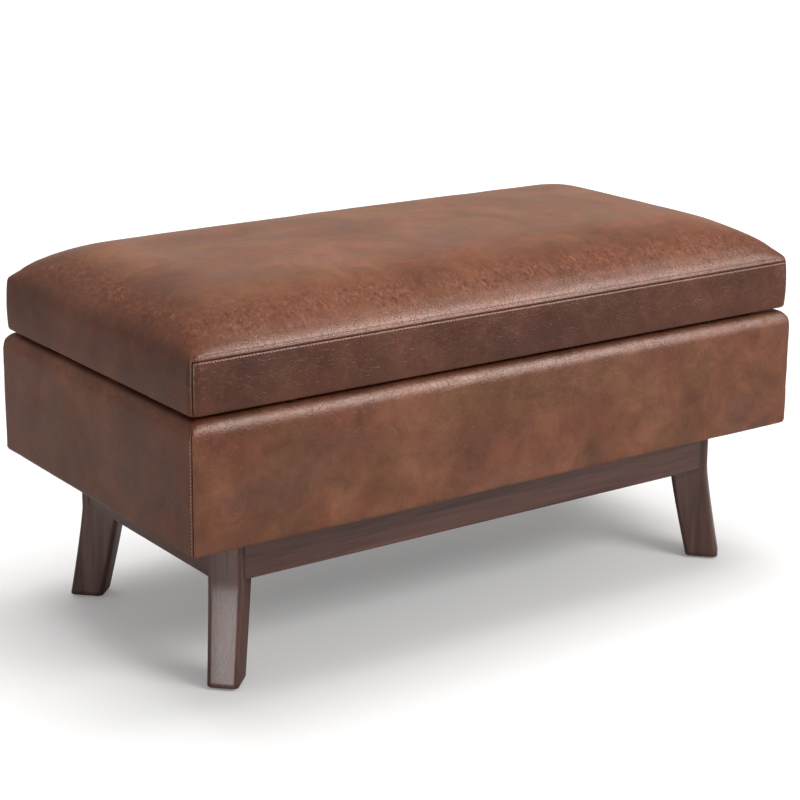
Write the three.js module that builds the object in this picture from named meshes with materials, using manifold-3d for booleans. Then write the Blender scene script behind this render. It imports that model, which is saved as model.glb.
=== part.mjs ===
// A storage bench: an upholstered box with a hinged, cushioned lid, on a wooden base with four splayed legs.
// Millimetres, +Z up, X along the length, the front at -Y, the origin on the floor under the middle.
import * as THREE from "three";
import { mergeVertices } from "three/addons/utils/BufferGeometryUtils.js";
import Module from "manifold-3d";

const wasm = await Module();
wasm.setup();

// ---------- driving dimensions ----------
const GAP = 0.3; // air between pieces that touch
const LENGTH = 864; // box, over its cover
const DEPTH = 452;
const BOX_BOTTOM = 180; // underside of the box above the floor
const BOX_TOP = 328; // top of the padded rim
const LID_BOTTOM = 332;
const SEAM_Z = 391; // seam along the top of the lid's front and back strips
const CROWN = 47; // rise of the cushion over that seam, where its edges have rolled off
const DOME = 5; // further rise towards the middle
const END_ROLL = 95; // length of the cushion's rounded ends
const SEAM_ROLL = 115; // depth of its rounded front and back
const END_FULLNESS = 1.35; // 2 rolls off as a quarter of an ellipse, and less slopes more evenly
const SEAM_FULLNESS = 2;
const DOME_FLAT = 0.2; // the flat middle of the dome, as a share of its size
const LID_INSET = 1.5; // the lid is this much smaller than the box on each side

const LEATHER = 1.5;
const PADDING = 6;
const RIM_PADDING = 3; // padding on top of the boards
const BOARD = 15;
const LID_BOARD = 12;
const LID_BOARD_INSET = 9; // foam wraps round the lid board's edges
const LINING = 1;
const RETURN_UNDER = 26; // leather turned under the box and the lid, up to its cut edge
const RETURN_INSIDE = 25; // leather turned down inside the box
const RIM_RADIUS = 9; // padded outer edge of the rim
const RIM_INNER_RADIUS = 4;
const LOW_RADIUS = 6; // bottom edge of the box
const LID_EDGE_RADIUS = 7; // bottom edge of the lid
const LID_CORNER_RADIUS = 8; // vertical corners of the lid
const STRIP_REACH = 4; // the lid's front and back strips end this far round its corners

const RAIL_HEIGHT = 60;
const RAIL_THICKNESS = 20;
const RAIL_HALF_X = 366; // outer face of the end rails
const RAIL_HALF_Y = 172; // outer face of the front and back rails
const RAIL_EDGE_RADIUS = 3;
const LEG_SETBACK = 24; // leg centre in from the rails' outer faces, along X and along Y
const LEG_TOP = { deep: 46, wide: 40 }; // along the leg's diagonal, and across it
const LEG_FOOT = { deep: 41, wide: 36 };
const LEG_RADIUS = 7;
const LEG_SPLAY = 21; // the foot's centre lies this far out along the diagonal
const LEG_CURVE = 1.15; // 1 would make the splayed part straight
const BEND_Z = 116; // height where the leg turns outwards
const GLIDE = { radius: 11, height: 2.2 };
const BRACE = { thick: 18, low: 130, high: 178 };
const BOLT = { radius: 3, nutRadius: 6.5, nut: 5, end: -4, z: 154 };

const HINGE_X = [-260, 260];
const HINGE_LENGTH = 100;
const HINGE_RADIUS = 2.7; // outside of the knuckles
const BORE_RADIUS = 1.6;
const PIN = { radius: 1.3, headRadius: 2.3, head: 1 };
const KNUCKLES = 5;
const KNUCKLE_SIDES = 16;
const LEAF = { thick: 1, width: 22, start: 3.1, low: 0.7 }; // low: from the axis to the leaf's near face
const SCREW = { radius: 1.7, headRadius: 3.6, head: 0.8, length: 14, fromAxis: 13 };
const BOX_SCREW_X = 35; // from the middle of the hinge
const LID_SCREW_X = 20;
const HOLE_RADIUS = 2.1;
const LEAF_CUT = 4; // half the height of the cutter for a leaf's screw holes
const BUMPER = { radius: 6, x: 300, fromFront: 15 };

// ---------- sizes that follow ----------
const HALF_X = LENGTH / 2;
const HALF_Y = DEPTH / 2;
const PADDING_AT = LEATHER + GAP; // each layer's distance in from the outside
const BOARD_AT = PADDING_AT + PADDING + GAP;
const INSIDE_AT = BOARD_AT + BOARD + GAP;
const LAYER_BOTTOM = BOX_BOTTOM + PADDING_AT;
const PADDING_TOP = BOX_TOP - PADDING_AT;
const BOARD_TOP = PADDING_TOP - RIM_PADDING - GAP;
const LID_HALF_X = HALF_X - LID_INSET;
const LID_HALF_Y = HALF_Y - LID_INSET;
const LID_BOARD_BOTTOM = LID_BOTTOM + PADDING_AT;
const RAIL_TOP = BOX_BOTTOM - GAP;
const RAIL_BOTTOM = RAIL_TOP - RAIL_HEIGHT;
const LEG_X = RAIL_HALF_X - LEG_SETBACK;
const LEG_Y = RAIL_HALF_Y - LEG_SETBACK;
const FOOT_Z = GLIDE.height + GAP;
const HINGE_Y = HALF_Y - HINGE_RADIUS;
const HINGE_Z = (BOX_TOP + LID_BOTTOM) / 2;
const MITRE = GAP / Math.SQRT2;
const FAR = 1000; // beyond the whole bench, for cutting

// ---------- materials ----------
function finish(color, roughness, metalness = 0) {
  return new THREE.MeshStandardMaterial({ color, roughness, metalness });
}

const leather = finish(0x7d4b38, 0.45);
const darkWood = finish(0x3a2622, 0.4);
const rawWood = finish(0xc9a877, 0.8);
const foam = finish(0xe9e2c8, 0.95);
const blackCloth = finish(0x1d1c1c, 0.95);
const steel = finish(0x9a9a98, 0.4, 1);
const nylon = finish(0x2a2a2a, 0.6);
const rubber = finish(0x3c3a38, 0.8);

// ---------- solids and meshes ----------
function solidOf(geometry) {
  const bare = geometry.clone();
  bare.deleteAttribute("normal");
  bare.deleteAttribute("uv");
  const merged = mergeVertices(bare, 1e-4);
  return new wasm.Manifold(
    new wasm.Mesh({
      numProp: 3,
      vertProperties: merged.attributes.position.array,
      triVerts: new Uint32Array(merged.index.array),
    }),
  );
}

function geometryOf(solid) {
  const mesh = solid.getMesh();
  const geometry = new THREE.BufferGeometry();
  geometry.setAttribute("position", new THREE.BufferAttribute(mesh.vertProperties, 3));
  geometry.setIndex(new THREE.BufferAttribute(mesh.triVerts, 1));
  geometry.computeVertexNormals();
  return geometry;
}

function addMesh(parent, name, shape, material) {
  const geometry = shape.isBufferGeometry ? shape : geometryOf(shape);
  const mesh = new THREE.Mesh(geometry, material.clone());
  mesh.name = name;
  parent.add(mesh);
}

function addGroup(parent, x, y, z, turn) {
  const group = new THREE.Group();
  group.position.set(x, y, z);
  group.rotation.z = turn;
  parent.add(group);
  return group;
}

function without(solid, cutters) {
  return cutters.reduce((rest, cutter) => rest.subtract(solidOf(cutter)), solid);
}

function block(x0, y0, z0, x1, y1, z1) {
  const geometry = new THREE.BoxGeometry(x1 - x0, y1 - y0, z1 - z0);
  return geometry.translate((x0 + x1) / 2, (y0 + y1) / 2, (z0 + z1) / 2);
}

// A block centred on the origin in plan.
function slab(halfX, halfY, z0, z1) {
  return block(-halfX, -halfY, z0, halfX, halfY, z1);
}

// A cylinder along X or Z from its low end at (x, y, z).
function rod(axis, radius, length, x, y, z, sides = 12) {
  const geometry = new THREE.CylinderGeometry(radius, radius, length, sides);
  geometry.translate(0, length / 2, 0);
  if (axis === "x") {
    geometry.rotateZ(-Math.PI / 2);
  } else {
    geometry.rotateX(Math.PI / 2);
  }
  return geometry.translate(x, y, z);
}

function polygon(points) {
  return new THREE.Shape(points.map(([x, y]) => new THREE.Vector2(x, y)));
}

// A plan shape pulled up from z0 to z1.
function upright(shape, z0, z1) {
  const geometry = new THREE.ExtrudeGeometry(shape, { depth: z1 - z0, bevelEnabled: false });
  return geometry.translate(0, 0, z0);
}

// A section drawn as (distance inwards, height), pulled along X both ways from the middle.
function alongWall(section, half) {
  const options = { depth: 2 * half, bevelEnabled: false, curveSegments: 5 };
  const geometry = new THREE.ExtrudeGeometry(section, options);
  geometry.translate(0, 0, -half);
  const inwards = new THREE.Vector3(0, 1, 0);
  const up = new THREE.Vector3(0, 0, 1);
  const along = new THREE.Vector3(1, 0, 0);
  return geometry.applyMatrix4(new THREE.Matrix4().makeBasis(inwards, up, along));
}

// The same, cut at 45 degrees at both ends; half is its half length at the outside.
function mitred(section, half, depth) {
  const plan = polygon([
    [half + 1 - MITRE, -1],
    [half - depth - MITRE, depth],
    [-half + depth + MITRE, depth],
    [-half - 1 + MITRE, -1],
  ]);
  return solidOf(alongWall(section, half)).intersect(solidOf(upright(plan, 0, FAR)));
}

// Closed surface through rings of equally many points, with flat convex ends.
function loft(rings) {
  const count = rings[0].length;
  const points = rings.flat();
  const index = [];
  for (let ring = 0; ring + 1 < rings.length; ring++) {
    for (let i = 0; i < count; i++) {
      const a = ring * count + i;
      const b = ring * count + ((i + 1) % count);
      index.push(a, b, b + count, a, b + count, a + count);
    }
  }
  const last = (rings.length - 1) * count;
  for (let i = 1; i + 1 < count; i++) {
    index.push(0, i + 1, i, last, last + i, last + i + 1);
  }
  const geometry = new THREE.BufferGeometry().setFromPoints(points);
  geometry.setIndex(index);
  geometry.computeVertexNormals();
  return geometry;
}

// Points round a rounded rectangle at height z, anticlockwise from above.
function ring(halfX, halfY, radius, z, x = 0, steps = 4) {
  const points = [];
  const corners = [
    [1, 1],
    [-1, 1],
    [-1, -1],
    [1, -1],
  ];
  corners.forEach(([sideX, sideY], quarter) => {
    for (let i = 0; i <= steps; i++) {
      const angle = (quarter + i / steps) * (Math.PI / 2);
      const pointX = sideX * (halfX - radius) + radius * Math.cos(angle);
      const pointY = sideY * (halfY - radius) + radius * Math.sin(angle);
      points.push(new THREE.Vector3(x + pointX, pointY, z));
    }
  });
  return points;
}

// ---------- box ----------
// One leather cover's section: under the box, up its outside, over the rim and down inside.
function coverSection() {
  const inner = INSIDE_AT + LEATHER;
  const rimZ = BOX_TOP - RIM_RADIUS;
  const lowZ = BOX_BOTTOM + LOW_RADIUS;
  const innerX = inner - RIM_INNER_RADIUS;
  const innerZ = BOX_TOP - RIM_INNER_RADIUS;
  const section = new THREE.Shape();
  section.moveTo(RETURN_UNDER, BOX_BOTTOM);
  section.absarc(LOW_RADIUS, lowZ, LOW_RADIUS, -Math.PI / 2, -Math.PI, true);
  section.absarc(RIM_RADIUS, rimZ, RIM_RADIUS, Math.PI, Math.PI / 2, true);
  section.absarc(innerX, innerZ, RIM_INNER_RADIUS, Math.PI / 2, 0, true);
  section.lineTo(inner, BOX_TOP - RETURN_INSIDE);
  section.lineTo(inner - LEATHER, BOX_TOP - RETURN_INSIDE);
  section.absarc(innerX, innerZ, RIM_INNER_RADIUS - LEATHER, 0, Math.PI / 2, false);
  section.absarc(RIM_RADIUS, rimZ, RIM_RADIUS - LEATHER, Math.PI / 2, Math.PI, false);
  section.absarc(LOW_RADIUS, lowZ, LOW_RADIUS - LEATHER, Math.PI, Math.PI * 1.5, false);
  section.lineTo(RETURN_UNDER, BOX_BOTTOM + LEATHER);
  section.closePath();
  return section;
}

// The foam under it: down the outside of the board and over its top edge.
function paddingSection() {
  const lowZ = BOX_BOTTOM + LOW_RADIUS;
  const section = new THREE.Shape();
  section.moveTo(BOARD_AT - GAP, LAYER_BOTTOM);
  section.absarc(LOW_RADIUS, lowZ, LOW_RADIUS - PADDING_AT, -Math.PI / 2, -Math.PI, true);
  section.absarc(RIM_RADIUS, BOX_TOP - RIM_RADIUS, RIM_RADIUS - PADDING_AT, Math.PI, Math.PI / 2, true);
  section.lineTo(BOARD_AT + BOARD - RIM_INNER_RADIUS, PADDING_TOP);
  section.lineTo(BOARD_AT + BOARD - GAP, PADDING_TOP - RIM_PADDING + GAP);
  section.lineTo(BOARD_AT + BOARD - GAP, BOARD_TOP + GAP);
  section.lineTo(BOARD_AT - GAP, BOARD_TOP + GAP);
  section.closePath();
  return section;
}

// Screw holes down through the back rim, in the wall's own frame, which is the same turned end for end.
function rimHoles() {
  const length = SCREW.length + 4;
  const low = HINGE_Z - length;
  const y = HALF_Y - HINGE_Y + SCREW.fromAxis;
  return HINGE_X.flatMap((x) => [
    rod("z", HOLE_RADIUS, length, x - BOX_SCREW_X, y, low),
    rod("z", HOLE_RADIUS, length, x + BOX_SCREW_X, y, low),
  ]);
}

function addUpholstery(bench) {
  const walls = [
    { side: "front", half: HALF_X, x: 0, y: -HALF_Y, turn: 0, holes: [] },
    { side: "right", half: HALF_Y, x: HALF_X, y: 0, turn: Math.PI / 2, holes: [] },
    { side: "back", half: HALF_X, x: 0, y: HALF_Y, turn: Math.PI, holes: rimHoles() },
    { side: "left", half: HALF_Y, x: -HALF_X, y: 0, turn: -Math.PI / 2, holes: [] },
  ];
  for (const { side, half, x, y, turn, holes } of walls) {
    const wall = addGroup(bench, x, y, 0, turn);
    const cover = mitred(coverSection(), half, RETURN_UNDER);
    const padding = mitred(paddingSection(), half, BOARD_AT + BOARD);
    addMesh(wall, `cover_${side}`, without(cover, holes), leather);
    addMesh(wall, `padding_${side}`, without(padding, holes), foam);
  }
}

// Front and back boards run the full length, and the ends and the bottom fit between them.
function addBoards(bench) {
  const outerX = HALF_X - BOARD_AT;
  const outerY = HALF_Y - BOARD_AT;
  const innerX = HALF_X - INSIDE_AT;
  const innerY = HALF_Y - INSIDE_AT;
  const front = block(-outerX, -outerY, LAYER_BOTTOM, outerX, -outerY + BOARD, BOARD_TOP);
  const left = block(-outerX, -innerY, LAYER_BOTTOM, -outerX + BOARD, innerY, BOARD_TOP);
  const right = block(outerX - BOARD, -innerY, LAYER_BOTTOM, outerX, innerY, BOARD_TOP);
  const back = block(-outerX, 0, LAYER_BOTTOM, outerX, BOARD, BOARD_TOP);
  addMesh(bench, "board_front", front, rawWood);
  addMesh(bench, "board_left", left, rawWood);
  addMesh(bench, "board_right", right, rawWood);
  addMesh(bench, "board_bottom", slab(innerX, innerY, LAYER_BOTTOM, LAYER_BOTTOM + BOARD), rawWood);
  const wall = addGroup(bench, 0, HALF_Y, 0, Math.PI);
  addMesh(wall, "board_back", without(solidOf(back.translate(0, BOARD_AT, 0)), rimHoles()), rawWood);
}

function addCloth(bench) {
  const halfX = HALF_X - INSIDE_AT;
  const halfY = HALF_Y - INSIDE_AT;
  const low = LAYER_BOTTOM + BOARD + GAP;
  const tub = solidOf(slab(halfX, halfY, low, BOX_TOP - RETURN_INSIDE - GAP));
  const hollow = slab(halfX - LINING, halfY - LINING, low + LINING, BOX_TOP);
  addMesh(bench, "lining", without(tub, [hollow]), blackCloth);
  const dustX = HALF_X - RETURN_UNDER - GAP;
  const dustY = HALF_Y - RETURN_UNDER - GAP;
  addMesh(bench, "dust_cover", slab(dustX, dustY, BOX_BOTTOM, BOX_BOTTOM + LINING), blackCloth);
}

function addBumpers(bench) {
  const height = LID_BOTTOM - BOX_TOP - 2 * GAP;
  const y = -HALF_Y + BUMPER.fromFront;
  addMesh(bench, "bumper_left", rod("z", BUMPER.radius, height, -BUMPER.x, y, BOX_TOP + GAP), rubber);
  addMesh(bench, "bumper_right", rod("z", BUMPER.radius, height, BUMPER.x, y, BOX_TOP + GAP), rubber);
}

// ---------- base ----------
// Rails end at 45 degrees against the legs' sides.
function railBetween(legDistance) {
  const r = RAIL_EDGE_RADIUS;
  const section = new THREE.Shape();
  section.moveTo(RAIL_THICKNESS, RAIL_BOTTOM);
  section.absarc(r, RAIL_BOTTOM + r, r, -Math.PI / 2, -Math.PI, true);
  section.absarc(r, RAIL_TOP - r, r, Math.PI, Math.PI / 2, true);
  section.lineTo(RAIL_THICKNESS, RAIL_TOP);
  section.closePath();
  const legSide = Math.SQRT2 * (LEG_TOP.wide / 2 + GAP);
  return mitred(section, legDistance + LEG_SETBACK - legSide + MITRE, RAIL_THICKNESS);
}

function addRails(bench) {
  const rails = [
    { side: "front", legs: LEG_X, x: 0, y: -RAIL_HALF_Y, turn: 0 },
    { side: "right", legs: LEG_Y, x: RAIL_HALF_X, y: 0, turn: Math.PI / 2 },
    { side: "back", legs: LEG_X, x: 0, y: RAIL_HALF_Y, turn: Math.PI },
    { side: "left", legs: LEG_Y, x: -RAIL_HALF_X, y: 0, turn: -Math.PI / 2 },
  ];
  for (const { side, legs, x, y, turn } of rails) {
    addMesh(addGroup(bench, x, y, 0, turn), `rail_${side}`, railBetween(legs), darkWood);
  }
}

// A leg in its own frame, with X pointing out along the diagonal: upright between the rails, splayed below.
function legSolid() {
  const rings = [];
  const steps = 6;
  for (let i = 0; i <= steps; i++) {
    const down = 1 - i / steps;
    const z = BEND_Z + (FOOT_Z - BEND_Z) * down;
    const deep = LEG_TOP.deep + (LEG_FOOT.deep - LEG_TOP.deep) * down;
    const wide = LEG_TOP.wide + (LEG_FOOT.wide - LEG_TOP.wide) * down;
    rings.push(ring(deep / 2, wide / 2, LEG_RADIUS, z, LEG_SPLAY * down ** LEG_CURVE, 3));
  }
  rings.push(ring(LEG_TOP.deep / 2, LEG_TOP.wide / 2, LEG_RADIUS, RAIL_TOP, 0, 3));
  const holeStart = -LEG_TOP.deep;
  const hole = rod("x", BOLT.radius + GAP, BOLT.end + GAP - holeStart, holeStart, 0, BOLT.z);
  return without(solidOf(loft(rings)), [hole]);
}

// A block behind the leg, with its ends flat against the two rails' inner faces.
function braceSolid() {
  const near = -LEG_TOP.deep / 2 - GAP;
  const far = near - BRACE.thick;
  const reach = Math.SQRT2 * (LEG_SETBACK - RAIL_THICKNESS - GAP);
  const plan = polygon([
    [near, reach - near],
    [far, reach - far],
    [far, far - reach],
    [near, near - reach],
  ]);
  const hole = rod("x", BOLT.radius + GAP, 3 * BRACE.thick, far - BRACE.thick, 0, BOLT.z);
  return without(solidOf(upright(plan, BRACE.low, BRACE.high)), [hole]);
}

function boltSolid() {
  const nutEnd = -LEG_TOP.deep / 2 - 2 * GAP - BRACE.thick;
  const start = nutEnd - BOLT.nut - 2;
  const nut = rod("x", BOLT.nutRadius, BOLT.nut, nutEnd - BOLT.nut, 0, BOLT.z, 6);
  const shank = rod("x", BOLT.radius, BOLT.end - start, start, 0, BOLT.z);
  return solidOf(shank).add(solidOf(nut));
}

function addLegs(bench) {
  const corners = [
    ["front_left", -1, -1],
    ["front_right", 1, -1],
    ["back_left", -1, 1],
    ["back_right", 1, 1],
  ];
  for (const [corner, sideX, sideY] of corners) {
    const leg = addGroup(bench, sideX * LEG_X, sideY * LEG_Y, 0, Math.atan2(sideY, sideX));
    addMesh(leg, `leg_${corner}`, legSolid(), darkWood);
    addMesh(leg, `brace_${corner}`, braceSolid(), rawWood);
    addMesh(leg, `leg_bolt_${corner}`, boltSolid(), steel);
    addMesh(leg, `glide_${corner}`, rod("z", GLIDE.radius, GLIDE.height, LEG_SPLAY, 0, 0), nylon);
  }
}

// ---------- lid ----------
// How far in from its edge a roll of the given depth has come at a height from 0 to 1.
function rollDistance(roll, fullness, height, inset) {
  return roll - (roll - inset) * Math.max(1 - height ** fullness, 0) ** (1 / fullness);
}

// The lid's outer surface, from its underside to the top of its crown, moved inwards by inset.
function cushion(inset) {
  const rings = [];
  const bottomRadius = LID_EDGE_RADIUS - inset;
  const cornerRadius = LID_CORNER_RADIUS - inset;
  const bottomSteps = 4;
  for (let i = 0; i <= bottomSteps; i++) {
    const angle = (i / bottomSteps - 1) * (Math.PI / 2);
    const from = LID_EDGE_RADIUS - bottomRadius * Math.cos(angle);
    const z = LID_BOTTOM + LID_EDGE_RADIUS + bottomRadius * Math.sin(angle);
    rings.push(ring(LID_HALF_X - from, LID_HALF_Y - from, cornerRadius, z));
  }
  const rollSteps = 8;
  for (let i = 0; i <= rollSteps; i++) {
    const height = Math.sin((i / rollSteps) * (Math.PI / 2));
    const fromEnd = rollDistance(END_ROLL, END_FULLNESS, height, inset);
    const fromSeam = rollDistance(SEAM_ROLL, SEAM_FULLNESS, height, inset);
    const radius = cornerRadius + fromEnd / 2;
    const z = SEAM_Z + (CROWN - inset) * height;
    rings.push(ring(LID_HALF_X - fromEnd, LID_HALF_Y - fromSeam, radius, z));
  }
  const domeSteps = 3;
  const domeRadius = cornerRadius + END_ROLL / 2;
  for (let i = 1; i <= domeSteps; i++) {
    const size = 1 - (i / domeSteps) * (1 - DOME_FLAT);
    const z = SEAM_Z + CROWN - inset + DOME * (1 - size * size);
    const halfX = (LID_HALF_X - END_ROLL) * size;
    const halfY = (LID_HALF_Y - SEAM_ROLL) * size;
    rings.push(ring(halfX, halfY, domeRadius * size, z));
  }
  return solidOf(loft(rings));
}

// The space that a front strip takes: the front below the seam, and a mitred part turned under the board.
function stripSpace(grow) {
  const top = SEAM_Z + grow;
  const back = -LID_HALF_Y + STRIP_REACH + grow;
  const face = block(-HALF_X, -HALF_Y - 1, 0, HALF_X, back, top);
  const reach = RETURN_UNDER + 1;
  const out = Math.SQRT2 * grow;
  const under = polygon([
    [-LID_HALF_X - out, -LID_HALF_Y],
    [LID_HALF_X + out, -LID_HALF_Y],
    [LID_HALF_X + out - reach, -LID_HALF_Y + reach],
    [-LID_HALF_X - out + reach, -LID_HALF_Y + reach],
  ]);
  return solidOf(face).add(solidOf(upright(under, 0, LID_BOTTOM + LID_EDGE_RADIUS)));
}

function turned(solid) {
  return solid.rotate([0, 0, 180]);
}

// Screw holes up through the lid's turned-under leather and into its board.
function lidHoles() {
  const y = HINGE_Y - SCREW.fromAxis;
  return HINGE_X.flatMap((x) => [
    rod("z", HOLE_RADIUS, SCREW.length, x - LID_SCREW_X, y, HINGE_Z),
    rod("z", HOLE_RADIUS, SCREW.length, x + LID_SCREW_X, y, HINGE_Z),
  ]);
}

function addLidCovers(bench) {
  const openX = LID_HALF_X - RETURN_UNDER;
  const openY = LID_HALF_Y - RETURN_UNDER;
  const opening = slab(openX, openY, 0, LID_BOARD_BOTTOM);
  const skin = without(cushion(0).subtract(cushion(LEATHER)), [opening]);
  const front = stripSpace(0);
  const frontGrown = stripSpace(GAP);
  const backStrip = skin.intersect(turned(front));
  addMesh(bench, "lid_top_cover", skin.subtract(frontGrown).subtract(turned(frontGrown)), leather);
  addMesh(bench, "lid_front_strip", skin.intersect(front), leather);
  addMesh(bench, "lid_back_strip", without(backStrip, lidHoles()), leather);
  const lining = slab(openX - GAP, openY - GAP, LID_BOTTOM, LID_BOTTOM + LINING);
  addMesh(bench, "lid_lining", lining, blackCloth);
}

function addLidCore(bench) {
  const halfX = LID_HALF_X - LID_BOARD_INSET;
  const halfY = LID_HALF_Y - LID_BOARD_INSET;
  const top = LID_BOARD_BOTTOM + LID_BOARD;
  const board = solidOf(slab(halfX, halfY, LID_BOARD_BOTTOM, top));
  addMesh(bench, "lid_board", without(board, lidHoles()), rawWood);
  const recess = slab(halfX + GAP, halfY + GAP, 0, top + GAP);
  addMesh(bench, "lid_foam", without(cushion(PADDING_AT), [recess]), foam);
}

// ---------- hinges ----------
// One half of a hinge about an axis along X at its origin; side is -1 for the box and 1 for the lid.
function hingeHalf(side, firstKnuckle, screwX) {
  const start = -HINGE_LENGTH / 2;
  const near = side * LEAF.low;
  const far = side * (LEAF.low + LEAF.thick);
  const low = Math.min(near, far);
  const high = Math.max(near, far);
  let half = solidOf(block(start, -LEAF.width, low, -start, -LEAF.start, high));
  const knuckle = HINGE_LENGTH / KNUCKLES;
  for (let i = firstKnuckle; i < KNUCKLES; i += 2) {
    const x = start + i * knuckle + GAP / 2;
    const tab = block(x, -LEAF.start - 1, low, x + knuckle - GAP, -BORE_RADIUS, high);
    const barrel = rod("x", HINGE_RADIUS, knuckle - GAP, x, 0, 0, KNUCKLE_SIDES);
    half = half.add(solidOf(tab)).add(solidOf(barrel));
  }
  const bore = rod("x", BORE_RADIUS, HINGE_LENGTH + 2, start - 1, 0, 0, KNUCKLE_SIDES);
  const holes = [-screwX, screwX].map((x) => rod("z", HOLE_RADIUS, 2 * LEAF_CUT, x, -SCREW.fromAxis, -LEAF_CUT));
  return without(half, [bore, ...holes]);
}

function pinSolid() {
  const half = HINGE_LENGTH / 2 + GAP;
  const pin = rod("x", PIN.radius, 2 * half, -half, 0, 0, KNUCKLE_SIDES);
  const leftHead = rod("x", PIN.headRadius, PIN.head, -half - PIN.head, 0, 0, KNUCKLE_SIDES);
  const rightHead = rod("x", PIN.headRadius, PIN.head, half, 0, 0, KNUCKLE_SIDES);
  return solidOf(pin).add(solidOf(leftHead)).add(solidOf(rightHead));
}

// A low-headed screw with its head over the leaf; side is -1 where it points down and 1 where it points up.
function screwSolid(side) {
  const seat = side * (LEAF.low - GAP);
  const headLow = side < 0 ? seat : seat - SCREW.head;
  const shankLow = side < 0 ? seat - SCREW.length : seat - SCREW.head;
  const shankLength = side < 0 ? SCREW.length : SCREW.length - LEAF.thick;
  const head = rod("z", SCREW.headRadius, SCREW.head, 0, 0, headLow);
  return solidOf(rod("z", SCREW.radius, shankLength, 0, 0, shankLow)).add(solidOf(head));
}

function addHinges(bench) {
  HINGE_X.forEach((x, number) => {
    const side = number === 0 ? "left" : "right";
    const hinge = addGroup(bench, x, HINGE_Y, HINGE_Z, 0);
    addMesh(hinge, `hinge_box_leaf_${side}`, hingeHalf(-1, 0, BOX_SCREW_X), steel);
    addMesh(hinge, `hinge_lid_leaf_${side}`, hingeHalf(1, 1, LID_SCREW_X), steel);
    addMesh(hinge, `hinge_pin_${side}`, pinSolid(), steel);
    [-1, 1].forEach((end) => {
      const place = end * x > 0 ? "outer" : "inner";
      const boxScrew = addGroup(hinge, end * BOX_SCREW_X, -SCREW.fromAxis, 0, 0);
      const lidScrew = addGroup(hinge, end * LID_SCREW_X, -SCREW.fromAxis, 0, 0);
      addMesh(boxScrew, `screw_box_${side}_${place}`, screwSolid(-1), steel);
      addMesh(lidScrew, `screw_lid_${side}_${place}`, screwSolid(1), steel);
    });
  });
}

// ---------- the bench ----------
const bench = new THREE.Group();
addLegs(bench);
addRails(bench);
addBoards(bench);
addUpholstery(bench);
addCloth(bench);
addBumpers(bench);
addLidCore(bench);
addLidCovers(bench);
addHinges(bench);

export default bench;
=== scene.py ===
import math

import bpy
import numpy as np
from mathutils import Matrix, Quaternion, Vector, kdtree


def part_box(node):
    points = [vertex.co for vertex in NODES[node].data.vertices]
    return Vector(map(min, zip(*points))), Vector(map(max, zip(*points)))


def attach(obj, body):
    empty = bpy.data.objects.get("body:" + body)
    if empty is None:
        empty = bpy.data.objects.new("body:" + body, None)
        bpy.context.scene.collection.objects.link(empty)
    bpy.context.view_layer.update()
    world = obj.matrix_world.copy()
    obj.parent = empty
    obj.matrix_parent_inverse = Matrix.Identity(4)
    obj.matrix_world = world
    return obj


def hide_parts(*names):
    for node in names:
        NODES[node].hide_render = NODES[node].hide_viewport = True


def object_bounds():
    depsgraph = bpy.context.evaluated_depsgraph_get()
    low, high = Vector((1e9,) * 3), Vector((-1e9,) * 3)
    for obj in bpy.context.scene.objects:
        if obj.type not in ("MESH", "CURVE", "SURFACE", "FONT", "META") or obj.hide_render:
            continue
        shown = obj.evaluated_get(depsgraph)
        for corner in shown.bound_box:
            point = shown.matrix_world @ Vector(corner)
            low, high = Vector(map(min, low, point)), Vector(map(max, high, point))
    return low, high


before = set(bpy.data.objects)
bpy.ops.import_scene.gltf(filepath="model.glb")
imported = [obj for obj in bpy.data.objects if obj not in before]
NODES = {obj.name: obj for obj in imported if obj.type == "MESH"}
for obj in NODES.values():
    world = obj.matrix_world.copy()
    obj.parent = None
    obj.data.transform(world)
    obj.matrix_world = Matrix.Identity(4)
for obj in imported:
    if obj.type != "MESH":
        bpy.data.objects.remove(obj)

CAD_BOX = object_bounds()
MM = 0.001

# ---------- sizes from the frame ----------
HALF_X = CAD_BOX[1].x
HALF_Y = CAD_BOX[1].y
BOX_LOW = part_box("cover_front")[0].z
BOX_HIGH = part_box("cover_front")[1].z
LID_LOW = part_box("lid_front_strip")[0].z
SEAM_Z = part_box("lid_front_strip")[1].z
LID_HALF_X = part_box("lid_top_cover")[1].x
LID_HALF_Y = -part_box("lid_front_strip")[0].y
LID_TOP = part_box("lid_top_cover")[1].z
RETURN_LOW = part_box("lining")[1].z
RAIL_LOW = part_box("rail_front")[0].z
RAIL_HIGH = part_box("rail_front")[1].z
RAIL_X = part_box("rail_right")[1].x
RAIL_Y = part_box("rail_back")[1].y
FOOT_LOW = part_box("leg_front_left")[0].z
LINING_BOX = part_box("lining")
DUST_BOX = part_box("dust_cover")
LID_LINING_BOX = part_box("lid_lining")

# ---------- sizes of the upholstery ----------
LEATHER = 1.5 * MM
RETURN_UNDER = 26 * MM
INNER_FACE = 24.9 * MM  # inside of the leather that is turned down into the box
RIM_DEEP, RIM_DOWN = 15 * MM, 20 * MM  # the padded rim rolls over this far inwards and this far down
RIM_INNER_RADIUS = 4 * MM
LOW_RADIUS = 6 * MM
BOX_CORNER = 4 * MM
LID_EDGE_RADIUS = 3.5 * MM
LID_CORNER = 10 * MM
END_ROLL = 95 * MM
SEAM_ROLL = 115 * MM
END_FULLNESS = 1.6  # 2 rolls off as a quarter of an ellipse, and less slopes more evenly
SEAM_FULLNESS = 1.9
SEAM_START = 2.2 * MM  # how far along its upright start the roll is cut by the seam
CORNER_BLEND = 3.2  # 1 melts the two rolls together at a corner, and more keeps a sharper mitre
RIDGE = 14 * MM  # how far the turns of the top are eased
SHOULDER = 9 * MM  # how far the turn from an end of the lid to its top is eased
DOME = 5 * MM
CROWN = LID_TOP - SEAM_Z - DOME
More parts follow.
